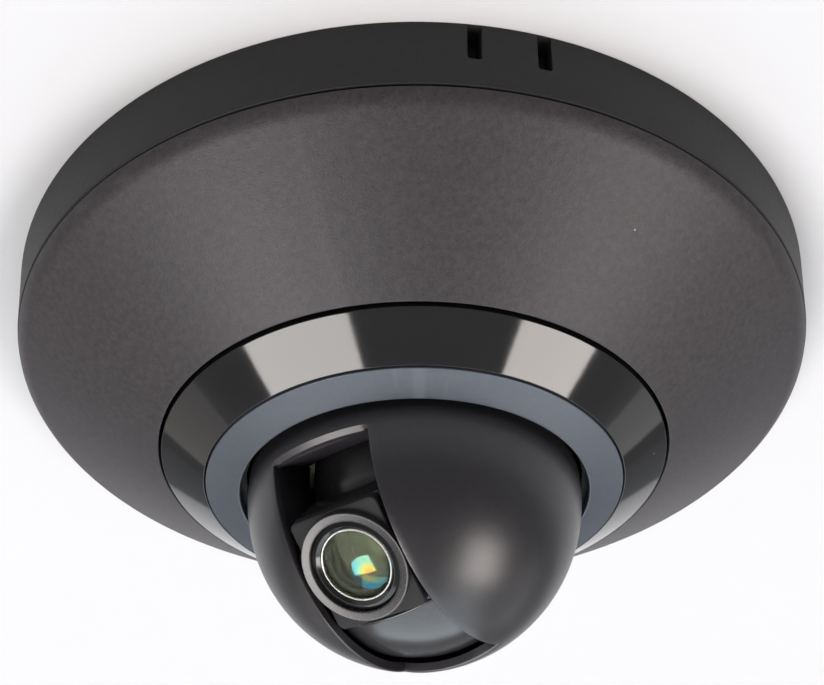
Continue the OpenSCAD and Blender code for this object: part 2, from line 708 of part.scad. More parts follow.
// glass disc with a domed front of the given sag
module domed_glass(r, back, front, sag) {
    dome_r = (r * r + sag * sag) / (2 * sag);
    intersection() {
        translate([0, 0, back]) cylinder(r = r, h = front - back);
        translate([0, 0, front - dome_r]) sphere(r = dome_r);
    }
}

module front_lens() color([0.35, 0.42, 0.36, 0.6]) lens_frame() {
    domed_glass(glass_r, glass_back, glass_front, glass_sag);
    translate([0, 0, glass_back]) cylinder(r = seat_r - 0.05, h = ring_p - glass_back);
}

module second_lens() color([0.4, 0.45, 0.5, 0.6]) lens_frame()
    domed_glass(barrel_bore_r - 0.05, second_back, second_front, second_sag);

module zoom_carriage() color("#222225") lens_frame() difference() {
    union() {
        translate([0, 0, zoom_rest]) cylinder(r = carriage_r, h = carriage_t);
        translate([-0.8, rod_v - 0.8, zoom_rest]) cube([1.6, screw_v - rod_v + 1.6, carriage_t]);
    }
    translate([0, 0, zoom_rest - cut]) cylinder(r = zoom_glass_r, h = carriage_t + 2 * cut);
    translate([0, screw_v, zoom_rest - cut])
        cylinder(r = zoom_screw_r + run_gap, h = carriage_t + 2 * cut, $fn = 32);
    translate([0, rod_v, zoom_rest - cut])
        cylinder(r = zoom_rod_r + run_gap, h = carriage_t + 2 * cut, $fn = 32);
}

module zoom_lens() color([0.4, 0.45, 0.5, 0.6]) lens_frame()
    domed_glass(zoom_glass_r, zoom_rest + 0.3, zoom_rest + 2, 0.7);

module zoom_rod() color("#d0d0d2") lens_frame() translate([0, rod_v, sensor_board_p + 1.1])
    cylinder(r = zoom_rod_r, h = barrel_back - sensor_board_p - 1.1, $fn = 32);

module zoom_motor() color("#9a9ca0") lens_frame() translate([0, screw_v, -0.9]) difference() {
    cylinder(r = 1.5, h = 4);
    translate([0, 0, 1]) cylinder(r = 0.6, h = 4, $fn = 32);
}

module zoom_screw() color("#d0d0d2") lens_frame() translate([0, screw_v, 0.3])
    cylinder(r = zoom_screw_r, h = barrel_back - 0.4, $fn = 32);

module ir_filter() color([0.6, 0.75, 0.8, 0.5]) lens_frame()
    translate([-2.6, -2.2, -1.6]) cube([5.2, 4.4, 0.5]);

module image_sensor() color("#30363c") lens_frame()
    translate([-3, -2.7, sensor_p]) cube([6, 5.4, 1]);

module sensor_board() color("#1d5a34") lens_frame()
    translate([-3.9, -5.2, sensor_board_p]) cube([7.8, 10.4, 1.1]);

module drum_cap() color("#2b2b2f") lens_frame() difference() {
    intersection() {
        rotate([0, 90, 0]) cylinder(r = core_r, h = 10.6, center = true);
        translate([-5.3, -5.1, cap_front - 5.05]) cube([10.6, 10.2, 5]);
    }
    for (s = [-1, 1]) translate([s * cap_screw_x, 0, -10]) {
        cylinder(r = 0.5, h = 8, $fn = 24);
        cylinder(r = 0.84, h = 3.2, $fn = 24);
    }
}

module cap_screws() color("#a8a8aa") lens_frame() for (s = [-1, 1])
    translate([s * cap_screw_x, 0, -7.8]) rotate([180, 0, 0]) screw_down(0.8, 0.8, 0.48, 5);

bottom_case();
top_cover();
trim_ring();
inner_ring();
light_seal();
cover_screws();
main_board();
board_parts();
board_screws();
network_jack();
jack_contacts();
head_connector();
reset_switch();
reset_button();
chassis();
chassis_screws();
thrust_washer();
retaining_clip();
pan_motor();
pan_motor_screws();
pan_motor_shaft();
pan_pinion();
turntable();
pan_bush();
yoke();
yoke_screws();
ball_shell();
ball_screws();
tilt_motor();
tilt_motor_screws();
tilt_motor_shaft();
tilt_pinion();
head_cable();
tilt_drum();
left_tilt_pin();
right_tilt_pin();
tilt_gear();
lens_plate();
lens_barrel();
retaining_ring();
front_lens();
second_lens();
zoom_carriage();
zoom_lens();
zoom_rod();
zoom_motor();
zoom_screw();
ir_filter();
image_sensor();
sensor_board();
drum_cap();
cap_screws();
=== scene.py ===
import math

import bmesh
import bpy
from mathutils import Matrix, Vector


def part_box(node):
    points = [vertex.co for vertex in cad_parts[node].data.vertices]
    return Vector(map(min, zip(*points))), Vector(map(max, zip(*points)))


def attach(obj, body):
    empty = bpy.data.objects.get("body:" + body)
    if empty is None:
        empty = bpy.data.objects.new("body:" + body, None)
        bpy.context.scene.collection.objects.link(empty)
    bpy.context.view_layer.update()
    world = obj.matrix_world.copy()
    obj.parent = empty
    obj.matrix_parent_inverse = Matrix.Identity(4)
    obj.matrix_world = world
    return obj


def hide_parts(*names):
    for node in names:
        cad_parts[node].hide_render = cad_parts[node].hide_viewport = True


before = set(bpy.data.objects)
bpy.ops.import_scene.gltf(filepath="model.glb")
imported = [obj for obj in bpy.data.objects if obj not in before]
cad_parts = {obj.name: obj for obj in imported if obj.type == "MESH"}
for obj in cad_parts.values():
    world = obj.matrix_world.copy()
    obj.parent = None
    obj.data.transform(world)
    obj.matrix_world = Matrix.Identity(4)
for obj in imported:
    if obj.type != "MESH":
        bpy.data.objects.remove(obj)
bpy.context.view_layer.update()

# Looks of a ceiling-mounted camera. Shapes are worked out in millimetres in the CAD frame:
# +Z up, the ceiling at z = 0, the ball below it, and at rest the lens looks towards -Y and down.
MM = 0.001
scene = bpy.context.scene


def corners_mm(node):
    low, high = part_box(node)
    return low / MM, high / MM


# ---------- sizes, in millimetres ----------

case_low, case_high = corners_mm("bottom_case")
ball_high = corners_mm("ball_shell")[1]
pin_low, pin_high = corners_mm("right_tilt_pin")
trim_low, trim_high = corners_mm("trim_ring")
inner_low, inner_high = corners_mm("inner_ring")

CASE_R = case_high.x
RIM_H = -case_low.z
LIP_R = CASE_R - 1.4
CASE_WALL = 2.0
SEAM_R, SEAM_Z = 33.2, -21.8
SHADOW_GAP = 0.3
SHOULDER_R, SHOULDER_FROM = 5, 30
COVER_IN_R = SEAM_R + 0.4
COVER_T = 2.2
COVER_OUT_R = LIP_R - 0.1
SKIRT_OUT_R = LIP_R - CASE_WALL - 0.6
SKIRT_IN_R = SKIRT_OUT_R - 1.2
SKIRT_TOP = -4.5
POST_R = 2.6
POST_HOLE_R = 0.8
COVER_POSTS = (46.9, (90, 210, 330))
CHASSIS_POSTS = (30, (45, 165, 285))
BOARD_POSTS = (38, (10, 58, -70, -150))
CHASSIS_POST_END, BOARD_POST_END = -7.0, -4.2
SCREW_HEAD_R, SCREW_HEAD_H, SCREW_HOLE_R, SCREW_HOLE_END = 2.2, 1.1, 1.2, -2.3
CEILING_HOLE_X, CEILING_HOLE_R = 41.75, 2.2
CABLE_HOLE_AT, CABLE_HOLE_ANGLE, CABLE_HOLE_R = 40.5, 150, 8
TAB_ANGLE, TAB_W = -45, 6.2
SLIT_W, SLIT_H, SLIT_CORNER, SLIT_WEB, SLIT_DEPTH = 1.6, 5.1, 0.35, 0.2, 2.8

GLOSS_IN_R, GLOSS_LIP, GLOSS_WALL, GLOSS_BACK_RISE = 27.3, 1.9, 1.4, 1
EYE_OUT_R, EYE_OUT_Z, EYE_R = 27.1, -25.6, 22.6
EYE_LIP, EYE_WALL, EYE_BACK_RISE = 1.1, 1.2, 0.8
FLANGE_T = 1

BALL_R = ball_high.x
BALL_WALL = 1.2
BALL_Z = (pin_low.z + pin_high.z) / 2
BALL_RIM_Z = -22.0
SLOT_HALF = 6.9
SLOT_FRONT, SLOT_REAR = 82, 22
SLOT_CHAMFER = 0.55
POCKET_FROM, POCKET_TO, POCKET_WALL, POCKET_IN_R = 42, 92, 0.7, 15.0
RAISED_TILT = 60
POCKET_END = 7.4
BALL_BOSS_X, BALL_BOSS_Y, BALL_BOSS_R = 14, 12, 2.2
BALL_BOSS_FROM, BALL_BOSS_TO = 3.5, -14.0

REST_TILT = 40
PLATE_FACE, PLATE_BACK = 19.2, 17.8
PLATE_L, PLATE_W, PLATE_CORNER = 14.0, 12.2, 0.9
BOSS_R, BOSS_TOP, BOSS_LIP, FUNNEL_H = 6.7, 20.05, 0.15, 0.14
BARREL_R, BARREL_FRONT, BARREL_STEP, BARREL_BODY_R, BARREL_BACK = 5.5, 19.7, 17.8, 5.2, 11.5
FRONT_SLOPE = 0.2
BORE_R, SEAT_P, SEAT_R = 3.2, 16.4, 4.5
GLASS_R, GLASS_FRONT, GLASS_SAG = 4.2, 19.7, 1.0
ELEMENT_FRONT, ELEMENT_BACK, ELEMENT_EDGE, ELEMENT_SAG = 14.6, 12.4, 13.55, 1.0
RING_P, RING_T = 18.6, 0.75
DRUM_HALF, CORE_R, CORE_BORE_R = 6.5, 8.2, 5.4
HOUSE_WALL, HOUSE_IN_HALF = 0.8, 5.5
DRUM_SKIRT_GAP, DRUM_SKIRT_WALL, DRUM_SKIRT_HALF = 0.7, 1.4, 7.4
DRUM_SKIRT_R = BALL_R - BALL_WALL - DRUM_SKIRT_GAP
DRUM_SKIRT_FROM, DRUM_SKIRT_TO = -80, -22.5
DRUM_SHIELD_R, DRUM_SHIELD_WALL = 14.5, 1.2
DRUM_SHIELD_FROM, DRUM_SHIELD_TO = 15, 75

LENS_TURN = math.radians(180 - REST_TILT)
LENS_PLACE = Matrix.Translation((0, 0, BALL_Z)) @ Matrix.Rotation(LENS_TURN, 4, "X")
BALL_PLACE = Matrix.Translation((0, 0, BALL_Z)) @ Matrix.Rotation(math.radians(180), 4, "X")

TURN, GLOSS_TURN = 288, 384     # steps round the large rings
SHARP = math.radians(32)        # edges sharper than this stay crisp
WELD = 1e-4                     # vertices closer than this are one
TINY = 1e-6                     # slack when sizes are compared
SPECK_CELL = 1.6                # spacing of dust specks and board pads


# ---------- procedural materials ----------

class Nodes:
    """Short calls for a material's node tree."""

    def __init__(self, name):
        self.material = bpy.data.materials.new(name)
        self.material.use_nodes = True
        self.tree = self.material.node_tree
        self.shader = self.tree.nodes["Principled BSDF"]
        self.place = self.tree.nodes.new("ShaderNodeTexCoord").outputs["Object"]

    def link(self, source, target):
        self.tree.links.new(source, target)

    def noise(self, size_mm, detail=4.0, roughness=0.55, stretch=None):
        node = self.tree.nodes.new("ShaderNodeTexNoise")
        node.inputs["Scale"].default_value = 1 / (size_mm * MM)
        node.inputs["Detail"].default_value = detail
        node.inputs["Roughness"].default_value = roughness
        if stretch:
            mapping = self.tree.nodes.new("ShaderNodeMapping")
            mapping.inputs["Scale"].default_value = stretch
            self.link(self.place, mapping.inputs["Vector"])
            self.link(mapping.outputs["Vector"], node.inputs["Vector"])
        else:
            self.link(self.place, node.inputs["Vector"])
        return node.outputs["Fac"]

    def cells(self, size_mm):
        node = self.tree.nodes.new("ShaderNodeTexVoronoi")
        node.inputs["Scale"].default_value = 1 / (size_mm * MM)
        self.link(self.place, node.inputs["Vector"])
        return node.outputs["Distance"], node.outputs["Color"]

    def lens_place(self):
        """Coordinates with the lens axis as Z and the ball's centre as the origin."""
        node = self.tree.nodes.new("ShaderNodeMapping")
        node.vector_type = "TEXTURE"
        node.inputs["Location"].default_value = (0, 0, BALL_Z * MM)
        node.inputs["Rotation"].default_value = (LENS_TURN, 0, 0)
        self.link(self.place, node.inputs["Vector"])
        return node.outputs["Vector"]

    def lens_rings(self, pitch_mm):
        """Rings round the lens axis."""
        node = self.tree.nodes.new("ShaderNodeTexWave")
        node.wave_type = "RINGS"
        node.rings_direction = "Z"
        node.inputs["Scale"].default_value = 2 * math.pi / 20 / (pitch_mm * MM)
        self.link(self.lens_place(), node.inputs["Vector"])
        return node.outputs["Fac"]

    def distance(self, vector, spot_mm, flatten=(1, 1, 1)):
        """Distance of a place from a spot, in metres, along the axes that aren't flattened."""
        scale = self.tree.nodes.new("ShaderNodeVectorMath")
        scale.operation = "MULTIPLY"
        self.link(vector, scale.inputs[0])
        scale.inputs[1].default_value = flatten
        node = self.tree.nodes.new("ShaderNodeVectorMath")
        node.operation = "DISTANCE"
        self.link(scale.outputs[0], node.inputs[0])
        node.inputs[1].default_value = [c * MM for c in spot_mm]
        return node.outputs["Value"]

    def spread(self, value, low, high, to_low, to_high):
        node = self.tree.nodes.new("ShaderNodeMapRange")
        node.inputs["From Min"].default_value = low
        node.inputs["From Max"].default_value = high
        node.inputs["To Min"].default_value = to_low
        node.inputs["To Max"].default_value = to_high
        self.link(value, node.inputs["Value"])
        return node.outputs["Result"]

    def math(self, operation, a, b):
        node = self.tree.nodes.new("ShaderNodeMath")
        node.operation = operation
        for socket, value in zip(node.inputs, (a, b)):
            if isinstance(value, (int, float)):
                socket.default_value = value
            else:
                self.link(value, socket)
        return node.outputs["Value"]

    def mix(self, factor, a, b):
        node = self.tree.nodes.new("ShaderNodeMix")
        node.data_type = "RGBA"
        self.link(factor, node.inputs[0])
        for socket, value in zip((node.inputs[6], node.inputs[7]), (a, b)):
            if isinstance(value, tuple):
                socket.default_value = (*value, 1)
            else:
                self.link(value, socket)
        return node.outputs[2]

    def bump(self, height, distance_mm, strength=1.0, under=None):
        node = self.tree.nodes.new("ShaderNodeBump")
        node.inputs["Strength"].default_value = strength
        node.inputs["Distance"].default_value = distance_mm * MM
        self.link(height, node.inputs["Height"])
        if under:
            self.link(under, node.inputs["Normal"])
        return node.outputs["Normal"]

    def set(self, **values):
        for name, value in values.items():
            self.shader.inputs[name.replace("_", " ")].default_value = value


def shade(colour, factor):
    return tuple(c * factor for c in colour)


def plastic(name, colour, roughness, grain_mm, grain_depth, mottle=0.12, specks=0.0, edge=0.25,
            wear_and_highlight_tone=2.2, smooth_boss=False, **extra):
    """Moulded plastic: mottled tone, a textured skin, lighter edges that are partly wear and partly a
    painted highlight, and a few specks of dust.
    With smooth_boss, only the part within the lens boss is as smooth as the roughness says."""
    m = Nodes(name)
    blotch = m.noise(grain_mm * 3.5, 3, 0.6)
    fine = m.noise(grain_mm, 3, 0.7)
    tone = m.math("ADD", m.math("MULTIPLY", blotch, 0.5), m.math("MULTIPLY", fine, 0.5))
    tone = m.spread(tone, 0.35, 0.65, 0.0, 1.0)
    paint = m.mix(tone, shade(colour, 1 - mottle), shade(colour, 1 + mottle))
    geometry = m.tree.nodes.new("ShaderNodeNewGeometry")
    # Lighter colour on convex edges, by pointiness: partly wear, partly a painted edge highlight.
    edge_wear_and_highlight = m.spread(geometry.outputs["Pointiness"], 0.52, 0.62, 0.0, edge)
    paint = m.mix(edge_wear_and_highlight, paint, shade(colour, wear_and_highlight_tone))
    if specks:
        distance, seed = m.cells(SPECK_CELL)
        chosen = m.math("GREATER_THAN", seed, 1 - specks)
        dot = m.math("MULTIPLY", m.spread(distance, 0.05, 0.085, 0.75, 0.0), chosen)
        paint = m.mix(dot, paint, (0.42, 0.42, 0.44))
    m.link(paint, m.shader.inputs["Base Color"])
    finish = m.spread(fine, 0.3, 0.7, roughness * 0.88, roughness * 1.12)
    if smooth_boss:
        reach = m.distance(m.lens_place(), (0, 0, 0), (1, 1, 0))
        matt = m.spread(reach, (BOSS_R - 0.05) * MM, (BOSS_R + 0.05) * MM, 0.0, 1.0)
        finish = m.math("ADD", finish, m.math("MULTIPLY", matt, 0.35))
        m.link(m.spread(matt, 0, 1, 0.5, 0.15), m.shader.inputs["Specular IOR Level"])
    m.link(finish, m.shader.inputs["Roughness"])
    skin = m.bump(m.noise(grain_mm, 2, 0.5), grain_depth)
    m.link(m.bump(m.noise(grain_mm * 4, 3), grain_depth * 1.5, 0.5, skin), m.shader.inputs["Normal"])
    m.set(**extra)
    return m.material


def metal(name, colour, roughness, brush=(1, 1, 1), grain_mm=0.25):
    """Turned, cast or plated metal with fine scratches."""
    m = Nodes(name)
    grain = m.noise(grain_mm, 4, 0.6, brush)
    stain = m.noise(2.5, 3)
    m.link(m.mix(stain, shade(colour, 0.86), shade(colour, 1.08)), m.shader.inputs["Base Color"])
    m.link(m.spread(grain, 0.3, 0.7, roughness * 0.7, roughness * 1.35), m.shader.inputs["Roughness"])
    m.link(m.bump(grain, 0.004, 0.6), m.shader.inputs["Normal"])
    m.set(Metallic=1.0)
    return m.material


def board(name, colour, copper):
    """Solder mask over copper tracks, with bare pads."""
    m = Nodes(name)
    distance, seed = m.cells(SPECK_CELL)
    tracks = m.spread(m.noise(1.1, 2, 0.4), 0.49, 0.51, 0.0, 1.0)
    paint = m.mix(tracks, shade(colour, 0.75), shade(colour, 1.35))
    dots = m.spread(distance, 0.1, 0.12, 1.0, 0.0)
    pads = m.math("MULTIPLY", dots, m.math("GREATER_THAN", seed, 0.72))
    m.link(m.mix(pads, paint, copper), m.shader.inputs["Base Color"])
    m.link(m.spread(m.noise(0.4), 0.3, 0.7, 0.28, 0.42), m.shader.inputs["Roughness"])
    m.link(m.bump(tracks, 0.02, 0.6), m.shader.inputs["Normal"])
    return m.material


def felt(name, colour):
    """Dense fibre strip."""
    m = Nodes(name)
    fibres = m.noise(0.16, 6, 0.75, (1, 1, 2.5))
    m.link(m.mix(fibres, shade(colour, 0.5), shade(colour, 1.6)), m.shader.inputs["Base Color"])
    m.link(m.bump(fibres, 0.06), m.shader.inputs["Normal"])
    m.link(m.spread(fibres, 0.3, 0.7, 0.9, 1.0), m.shader.inputs["Roughness"])
    m.set(Sheen_Weight=0.3)
    return m.material


def glass(name, tint, veil, spot_mm, thin_nm, thick_nm, spot_r_mm):
    """Coated lens glass: clear, with a faint tinted veil in rings round the lens axis, and round a
    spot a reflecting coat that thins outwards."""
    m = Nodes(name)
    haze = m.noise(1.5, 4)
    m.link(m.mix(haze, shade(tint, 0.97), tint), m.shader.inputs["Base Color"])
    m.link(m.spread(haze, 0.35, 0.7, 0.07, 0.11), m.shader.inputs["Roughness"])
    m.link(m.bump(haze, 0.0005, 0.3), m.shader.inputs["Normal"])
    m.link(m.spread(m.lens_rings(1.15), 0, 1, 1 - veil * 1.35, 1 - veil * 0.65),
           m.shader.inputs["Transmission Weight"])
    away = m.distance(m.place, spot_mm)
    coat = m.spread(away, 0.3 * MM, spot_r_mm * 0.7 * MM, thick_nm, thin_nm)
    coated = m.math("LESS_THAN", away, spot_r_mm * MM)
    m.link(m.math("MULTIPLY", coat, coated), m.shader.inputs["Thin Film Thickness"])
    m.set(IOR=1.17, Thin_Film_IOR=1.42)
    return m.material


def dark_element(name, colour):
    """Inner lens element: dark glass with faint rings."""
    m = Nodes(name)
    bands = m.lens_rings(0.9)
    m.link(m.mix(bands, shade(colour, 0.5), shade(colour, 1.5)), m.shader.inputs["Base Color"])
    m.link(m.spread(m.noise(1.2, 3), 0.3, 0.7, 0.16, 0.22), m.shader.inputs["Roughness"])
    m.set(IOR=1.2)
    return m.material


MATERIALS = {made.name.split(".")[0]: made for made in (
    plastic("case_charcoal", (0.0195, 0.019, 0.0202), 0.5, 0.3, 0.012, specks=0.05, edge=0.08,
            Specular_IOR_Level=0.15),
    plastic("cover_grey", (0.026, 0.0228, 0.0258), 0.46, 0.22, 0.02, 0.4, specks=0.1, edge=0.2,
            Specular_IOR_Level=0.33),
    plastic("gloss_black", (0.006, 0.006, 0.007), 0.07, 1.4, 0.0012, specks=0.12, edge=0.05),
    plastic("satin_grey", (0.046, 0.053, 0.067), 0.32, 0.25, 0.006, 0.1, specks=0.05),
    # ball_black's strong edge tone paints a highlight along the bevelled slot edges.
    plastic("ball_black", (0.014, 0.013, 0.0155), 0.33, 0.25, 0.004, 0.2, specks=0.05, edge=0.3,
            wear_and_highlight_tone=7),
    plastic("drum_black", (0.02, 0.0195, 0.0215), 0.2, 0.3, 0.002, 0.1),
    plastic("plate_grey", (0.022, 0.022, 0.024), 0.26, 0.2, 0.003, 0.1, smooth_boss=True),
    plastic("barrel_black", (0.006, 0.006, 0.006), 0.12, 0.2, 0.001, 0.1, edge=0.1),
    plastic("chip_black", (0.02, 0.02, 0.022), 0.45, 0.15, 0.006),
    plastic("connector_cream", (0.55, 0.5, 0.4), 0.4, 0.3, 0.004, 0.05, edge=0.0),
    plastic("acetal_white", (0.62, 0.58, 0.48), 0.35, 0.5, 0.003, 0.05, edge=0.0),
    plastic("cable_black", (0.02, 0.02, 0.02), 0.45, 0.1, 0.01),
    plastic("button_dark", (0.03, 0.03, 0.033), 0.4, 0.15, 0.006),
    felt("felt_black", (0.012, 0.012, 0.012)),
    metal("bright_ring", (0.5, 0.5, 0.48), 0.28, grain_mm=0.12),
    metal("steel", (0.55, 0.55, 0.56), 0.28),
    metal("motor_steel", (0.46, 0.47, 0.48), 0.35, (1, 1, 6)),
    metal("die_cast", (0.36, 0.37, 0.38), 0.5, grain_mm=0.5),
    metal("contact_gold", (0.83, 0.58, 0.24), 0.2),
    metal("bronze", (0.52, 0.32, 0.14), 0.4),
    board("board_green", (0.012, 0.075, 0.03), (0.6, 0.42, 0.2)),
    glass("lens_glass", (0.84, 0.93, 0.7), 0.036, (1.15, -11.4, -41.9), 282, 359, 2.2),
)}
INNER_ELEMENT = dark_element("inner_element", (0.03, 0.034, 0.024))

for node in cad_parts.values():
    for material_slot in node.material_slots:
        material_slot.material = MATERIALS[material_slot.material.name.split(".")[0]]


# ---------- mesh building ----------

def piece(name, bm, slot, body, replaced=(), place=None, material=None):
    """Turns a mesh in millimetres into a shown object that rides on a body."""
    bmesh.ops.remove_doubles(bm, verts=bm.verts, dist=WELD)
    bmesh.ops.recalc_face_normals(bm, faces=bm.faces)
    mesh = bpy.data.meshes.new(name)
    bm.to_mesh(mesh)
    bm.free()
    mesh.transform(Matrix.Scale(MM, 4) @ (place or Matrix.Identity(4)))
    mesh.shade_smooth()
    mesh.set_sharp_from_angle(angle=SHARP)
    mesh.materials.append(material or MATERIALS[slot])
    obj = bpy.data.objects.new(name, mesh)
    scene.collection.objects.link(obj)
    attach(obj, body)
    if replaced:
        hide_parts(*replaced)
    return obj


def rounded(corners, steps=5):
    """Closed outline from (r, z, radius) corners: each corner with a radius becomes an arc, with
    a support point just outside it so that the flats beside it shade flat."""
    outline = []
    for i, (r, z, radius) in enumerate(corners):
        corner = Vector((r, z))
        if radius <= 0:
            outline.append(corner)
            continue
        before = (Vector(corners[i - 1][:2]) - corner).normalized()
        after = (Vector(corners[(i + 1) % len(corners)][:2]) - corner).normalized()
        half = before.angle(after) / 2
        reach = radius / math.tan(half)
        centre = corner + (before + after).normalized() * (radius / math.sin(half))
        start = corner + before * reach - centre
        end = corner + after * reach - centre
        outline.append(corner + before * (reach + radius * 0.25))
        for k in range(steps + 1):
            outline.append(centre + start.slerp(end, k / steps) * radius)
        outline.append(corner + after * (reach + radius * 0.25))
    return outline


def lathe(bm, outline, steps=TURN, at=(0, 0)):
    """Turns a closed outline of (r, z) about a vertical axis."""
    rings = []
    for k in range(steps):
        a = 2 * math.pi * k / steps
        rings.append([bm.verts.new((at[0] + p[0] * math.cos(a), at[1] + p[0] * math.sin(a), p[1]))
                      for p in outline])
    count = len(outline)
    for k in range(steps):
        here, there = rings[k], rings[(k + 1) % steps]
        for i in range(count):
            j = (i + 1) % count
            if outline[i][0] == 0 and outline[j][0] == 0:
                continue
            bm.faces.new((here[i], here[j], there[j], there[i]))


def polar(radius, degrees):
    a = math.radians(degrees)
    return radius * math.cos(a), radius * math.sin(a)


def grid(bm, rows, close_rows=False, close_columns=False):
    """Joins rows of vertices with quads."""
    verts = [[bm.verts.new(p) for p in row] for row in rows]
    row_pairs = len(verts) if close_rows else len(verts) - 1
    for i in range(row_pairs):
        a, b = verts[i], verts[(i + 1) % len(verts)]
        columns = len(a) if close_columns else len(a) - 1
        for j in range(columns):
            k = (j + 1) % len(a)
            bm.faces.new((a[j], a[k], b[k], b[j]))
    return verts


def span(low, high, steps):
    return [low + (high - low) * i / steps for i in range(steps + 1)]


def on_sphere(radius, x, angle):
    """Point of a sphere by its x and its angle from +Z towards +Y, in degrees."""
    reach = math.sqrt(max(0.0, radius * radius - x * x))
    a = math.radians(angle)
    return x, reach * math.sin(a), reach * math.cos(a)


def soften(bm, edges, width, segments=3):
    bmesh.ops.bevel(bm, geom=edges, offset=width, segments=segments, profile=0.5,
                    affect="EDGES", clamp_overlap=True)


def sharp_edges(bm, degrees=50):
    limit = math.radians(degrees)
    return [e for e in bm.edges if len(e.link_faces) == 2 and e.calc_face_angle() > limit]


def block(bm, xs, angles, r_in, r_out, edge=0.12):
    """Curved wall about the X axis between two spheres, with softened edges."""
    part = bmesh.new()
    outer = [[on_sphere(r_out, x, a) for a in angles] for x in xs]
    inner = [[on_sphere(r_in, x, a) for a in angles] for x in xs]
    grid(part, outer)
    grid(part, inner)
    for side in (0, -1):
        grid(part, [outer[side], inner[side]])
        grid(part, [[row[side] for row in outer], [row[side] for row in inner]])
    bmesh.ops.remove_doubles(part, verts=part.verts, dist=WELD)
    bmesh.ops.recalc_face_normals(part, faces=part.faces)
    soften(part, sharp_edges(part), edge)
    append(bm, part)


def append(bm, part):
    mesh = bpy.data.meshes.new("part")
    part.to_mesh(mesh)
    part.free()
    bm.from_mesh(mesh)
    bpy.data.meshes.remove(mesh)


def cut_away(obj, cutters):
    """Takes the cutters' solid out of an object and keeps its smooth shading."""
    mesh = bpy.data.meshes.new("cutter")
    bmesh.ops.recalc_face_normals(cutters, faces=cutters.faces)
    cutters.to_mesh(mesh)
    cutters.free()
    mesh.transform(Matrix.Scale(MM, 4))
    tool = bpy.data.objects.new("cutter", mesh)
    scene.collection.objects.link(tool)
    modifier = obj.modifiers.new("cut", "BOOLEAN")
    modifier.operation = "DIFFERENCE"
    modifier.solver = "EXACT"
    modifier.object = tool
    graph = bpy.context.evaluated_depsgraph_get()
    result = bpy.data.meshes.new_from_object(obj.evaluated_get(graph))
    obj.modifiers.clear()
    old = obj.data
    obj.data = result
    result.name = obj.name
    bpy.data.objects.remove(tool)
    bpy.data.meshes.remove(old)
    bpy.data.meshes.remove(mesh)
    result.shade_smooth()
    result.set_sharp_from_angle(angle=SHARP)


# ---------- case, cover and rings ----------

def hole(bm, at, radius, top, bottom, ease=0.2):
    """Cutter for a round hole whose two mouths are eased."""
    flare = radius + 2 * ease
    lathe(bm, [(0, top + ease), (flare, top + ease), (radius, top - ease), (radius, bottom + ease),
               (flare, bottom - ease), (0, bottom - ease)], 64, at)


def rim_radius(z):
    """Radius of the case's slanted rim at a height."""
    return CASE_R + (CASE_R - LIP_R) * z / RIM_H


def slit_cutter(bm, side):
    """Cutter for one of the two slits beside the cable knock-out, eased where it leaves the rim.
    A thin web against the ceiling is left uncut."""
    centre = side * (TAB_W + SLIT_W) / 2
    rows = []
    for depth, ease in ((1.2, 0.4), (0.0, 0.15), (-0.15, 0.0), (-SLIT_DEPTH, 0.0)):
        half = SLIT_W / 2 + ease
        corner = SLIT_CORNER + ease
        low = -SLIT_H - ease
        outline = [(-half, -SLIT_WEB), (half, -SLIT_WEB)]
        outline += [(half - corner + corner * math.cos(a), low + corner - corner * math.sin(a))
                    for a in span(0, math.pi / 2, 5)]
        outline += [(-half + corner - corner * math.sin(a), low + corner - corner * math.cos(a))
                    for a in span(0, math.pi / 2, 5)]
        row = []
        for u, z in outline:
            spot = Vector((rim_radius(z) + depth, centre + u, z))
            row.append(Matrix.Rotation(math.radians(TAB_ANGLE), 3, "Z") @ spot)
        rows.append(row)
    verts = grid(bm, rows, close_columns=True)
    bm.faces.new(verts[0])
    bm.faces.new(verts[-1])


def post(bm, start, end, at, radius=POST_R, steps=40):
    """Round screw post with its hole, from the wall that it stands on to its free end."""
    lathe(bm, rounded([(POST_HOLE_R, start, 0), (radius, start, 0), (radius, end, 0.2),
                       (POST_HOLE_R, end, 0.1)]), steps, at)


def make_case():
    bm = bmesh.new()
    lathe(bm, rounded([(0, 0, 0), (CASE_R, 0, 0.2), (LIP_R, -RIM_H, 0.2),
                       (LIP_R - CASE_WALL, -RIM_H, 0.25), (CASE_R - CASE_WALL - 0.4, -CASE_WALL, 0.4),
                       (0, -CASE_WALL, 0)]))
    for (radius, angles), bottom in ((CHASSIS_POSTS, CHASSIS_POST_END),
                                     (BOARD_POSTS, BOARD_POST_END)):
        for angle in angles:
            post(bm, -CASE_WALL + 0.3, bottom, polar(radius, angle))
    case = piece("case_shell", bm, "case_charcoal", "root", ["bottom_case"])
    cutters = bmesh.new()
    for side in (-1, 1):
        slit_cutter(cutters, side)
        hole(cutters, (side * CEILING_HOLE_X, 0), CEILING_HOLE_R, 0, -CASE_WALL)
    hole(cutters, polar(CABLE_HOLE_AT, CABLE_HOLE_ANGLE), CABLE_HOLE_R, 0, -CASE_WALL, 0.3)
    radius, angles = COVER_POSTS
    for angle in angles:
        lathe(cutters, [(0, 0.2), (SCREW_HEAD_R + 0.4, 0.2), (SCREW_HEAD_R, -0.2),
                        (SCREW_HEAD_R, -SCREW_HEAD_H), (SCREW_HOLE_R, -SCREW_HEAD_H),
                        (SCREW_HOLE_R, SCREW_HOLE_END), (0, SCREW_HOLE_END)], 48, polar(radius, angle))
    cut_away(case, cutters)


